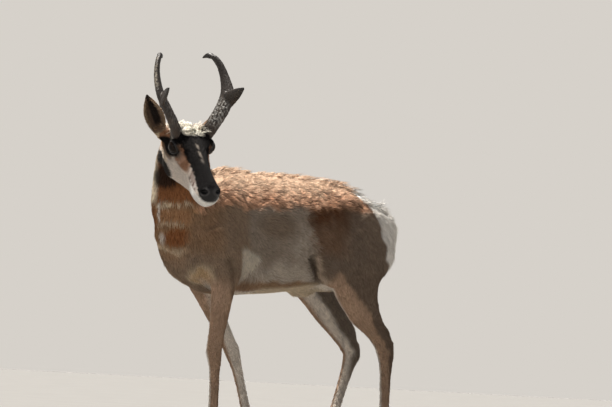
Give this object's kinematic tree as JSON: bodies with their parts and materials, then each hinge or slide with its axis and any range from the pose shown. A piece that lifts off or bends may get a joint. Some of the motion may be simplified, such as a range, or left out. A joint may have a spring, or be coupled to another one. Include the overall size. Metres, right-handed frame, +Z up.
{
  "type": "pronghorn buck model",
  "caption": "Life-size still model of a standing pronghorn buck, head turned to its left, with pronged hooked horns, cupped ears and cloven hooves; rests on its feet.",
  "frame": {"origin": "middle of the bounding box's underside, on the floor between the hooves", "axes": "+X towards the chest, +Y to the animal's left, +Z up"},
  "size_m": [1.1728, 0.4882, 1.2097],
  "materials": {
    "saddle_coat": "dense bristly tan coat, white at rump and belly",
    "neck_coat": "rust and brown coat with pale throat bands",
    "face_coat": "very short coat, black mask over tan and white",
    "leg_coat": "short smooth pinkish tan coat",
    "tail_hair": "long soft white hair",
    "ear_coat": "short tan-grey coat, dark inside",
    "horn_sheath": "black keratin, rubbed grey low down",
    "eye": "wet near-black eye",
    "hoof_horn": "worn black hoof horn"
  },
  "bodies": {
    "root": {"torso": "saddle_coat", "neck": "neck_coat", "head": "face_coat", "tail": "tail_hair", "foreleg_left": "leg_coat", "foreleg_right": "leg_coat", "hindleg_left": "leg_coat", "hindleg_right": "leg_coat", "ear_left": "ear_coat", "ear_right": "ear_coat", "horn_left": "horn_sheath", "horn_right": "horn_sheath", "eye_left": "eye", "eye_right": "eye", "hoof_foreleg_left_left": "hoof_horn", "hoof_foreleg_left_right": "hoof_horn", "hoof_foreleg_right_left": "hoof_horn", "hoof_foreleg_right_right": "hoof_horn", "hoof_hindleg_left_left": "hoof_horn", "hoof_hindleg_left_right": "hoof_horn", "hoof_hindleg_right_left": "hoof_horn", "hoof_hindleg_right_right": "hoof_horn"}
  },
  "joints": []
}
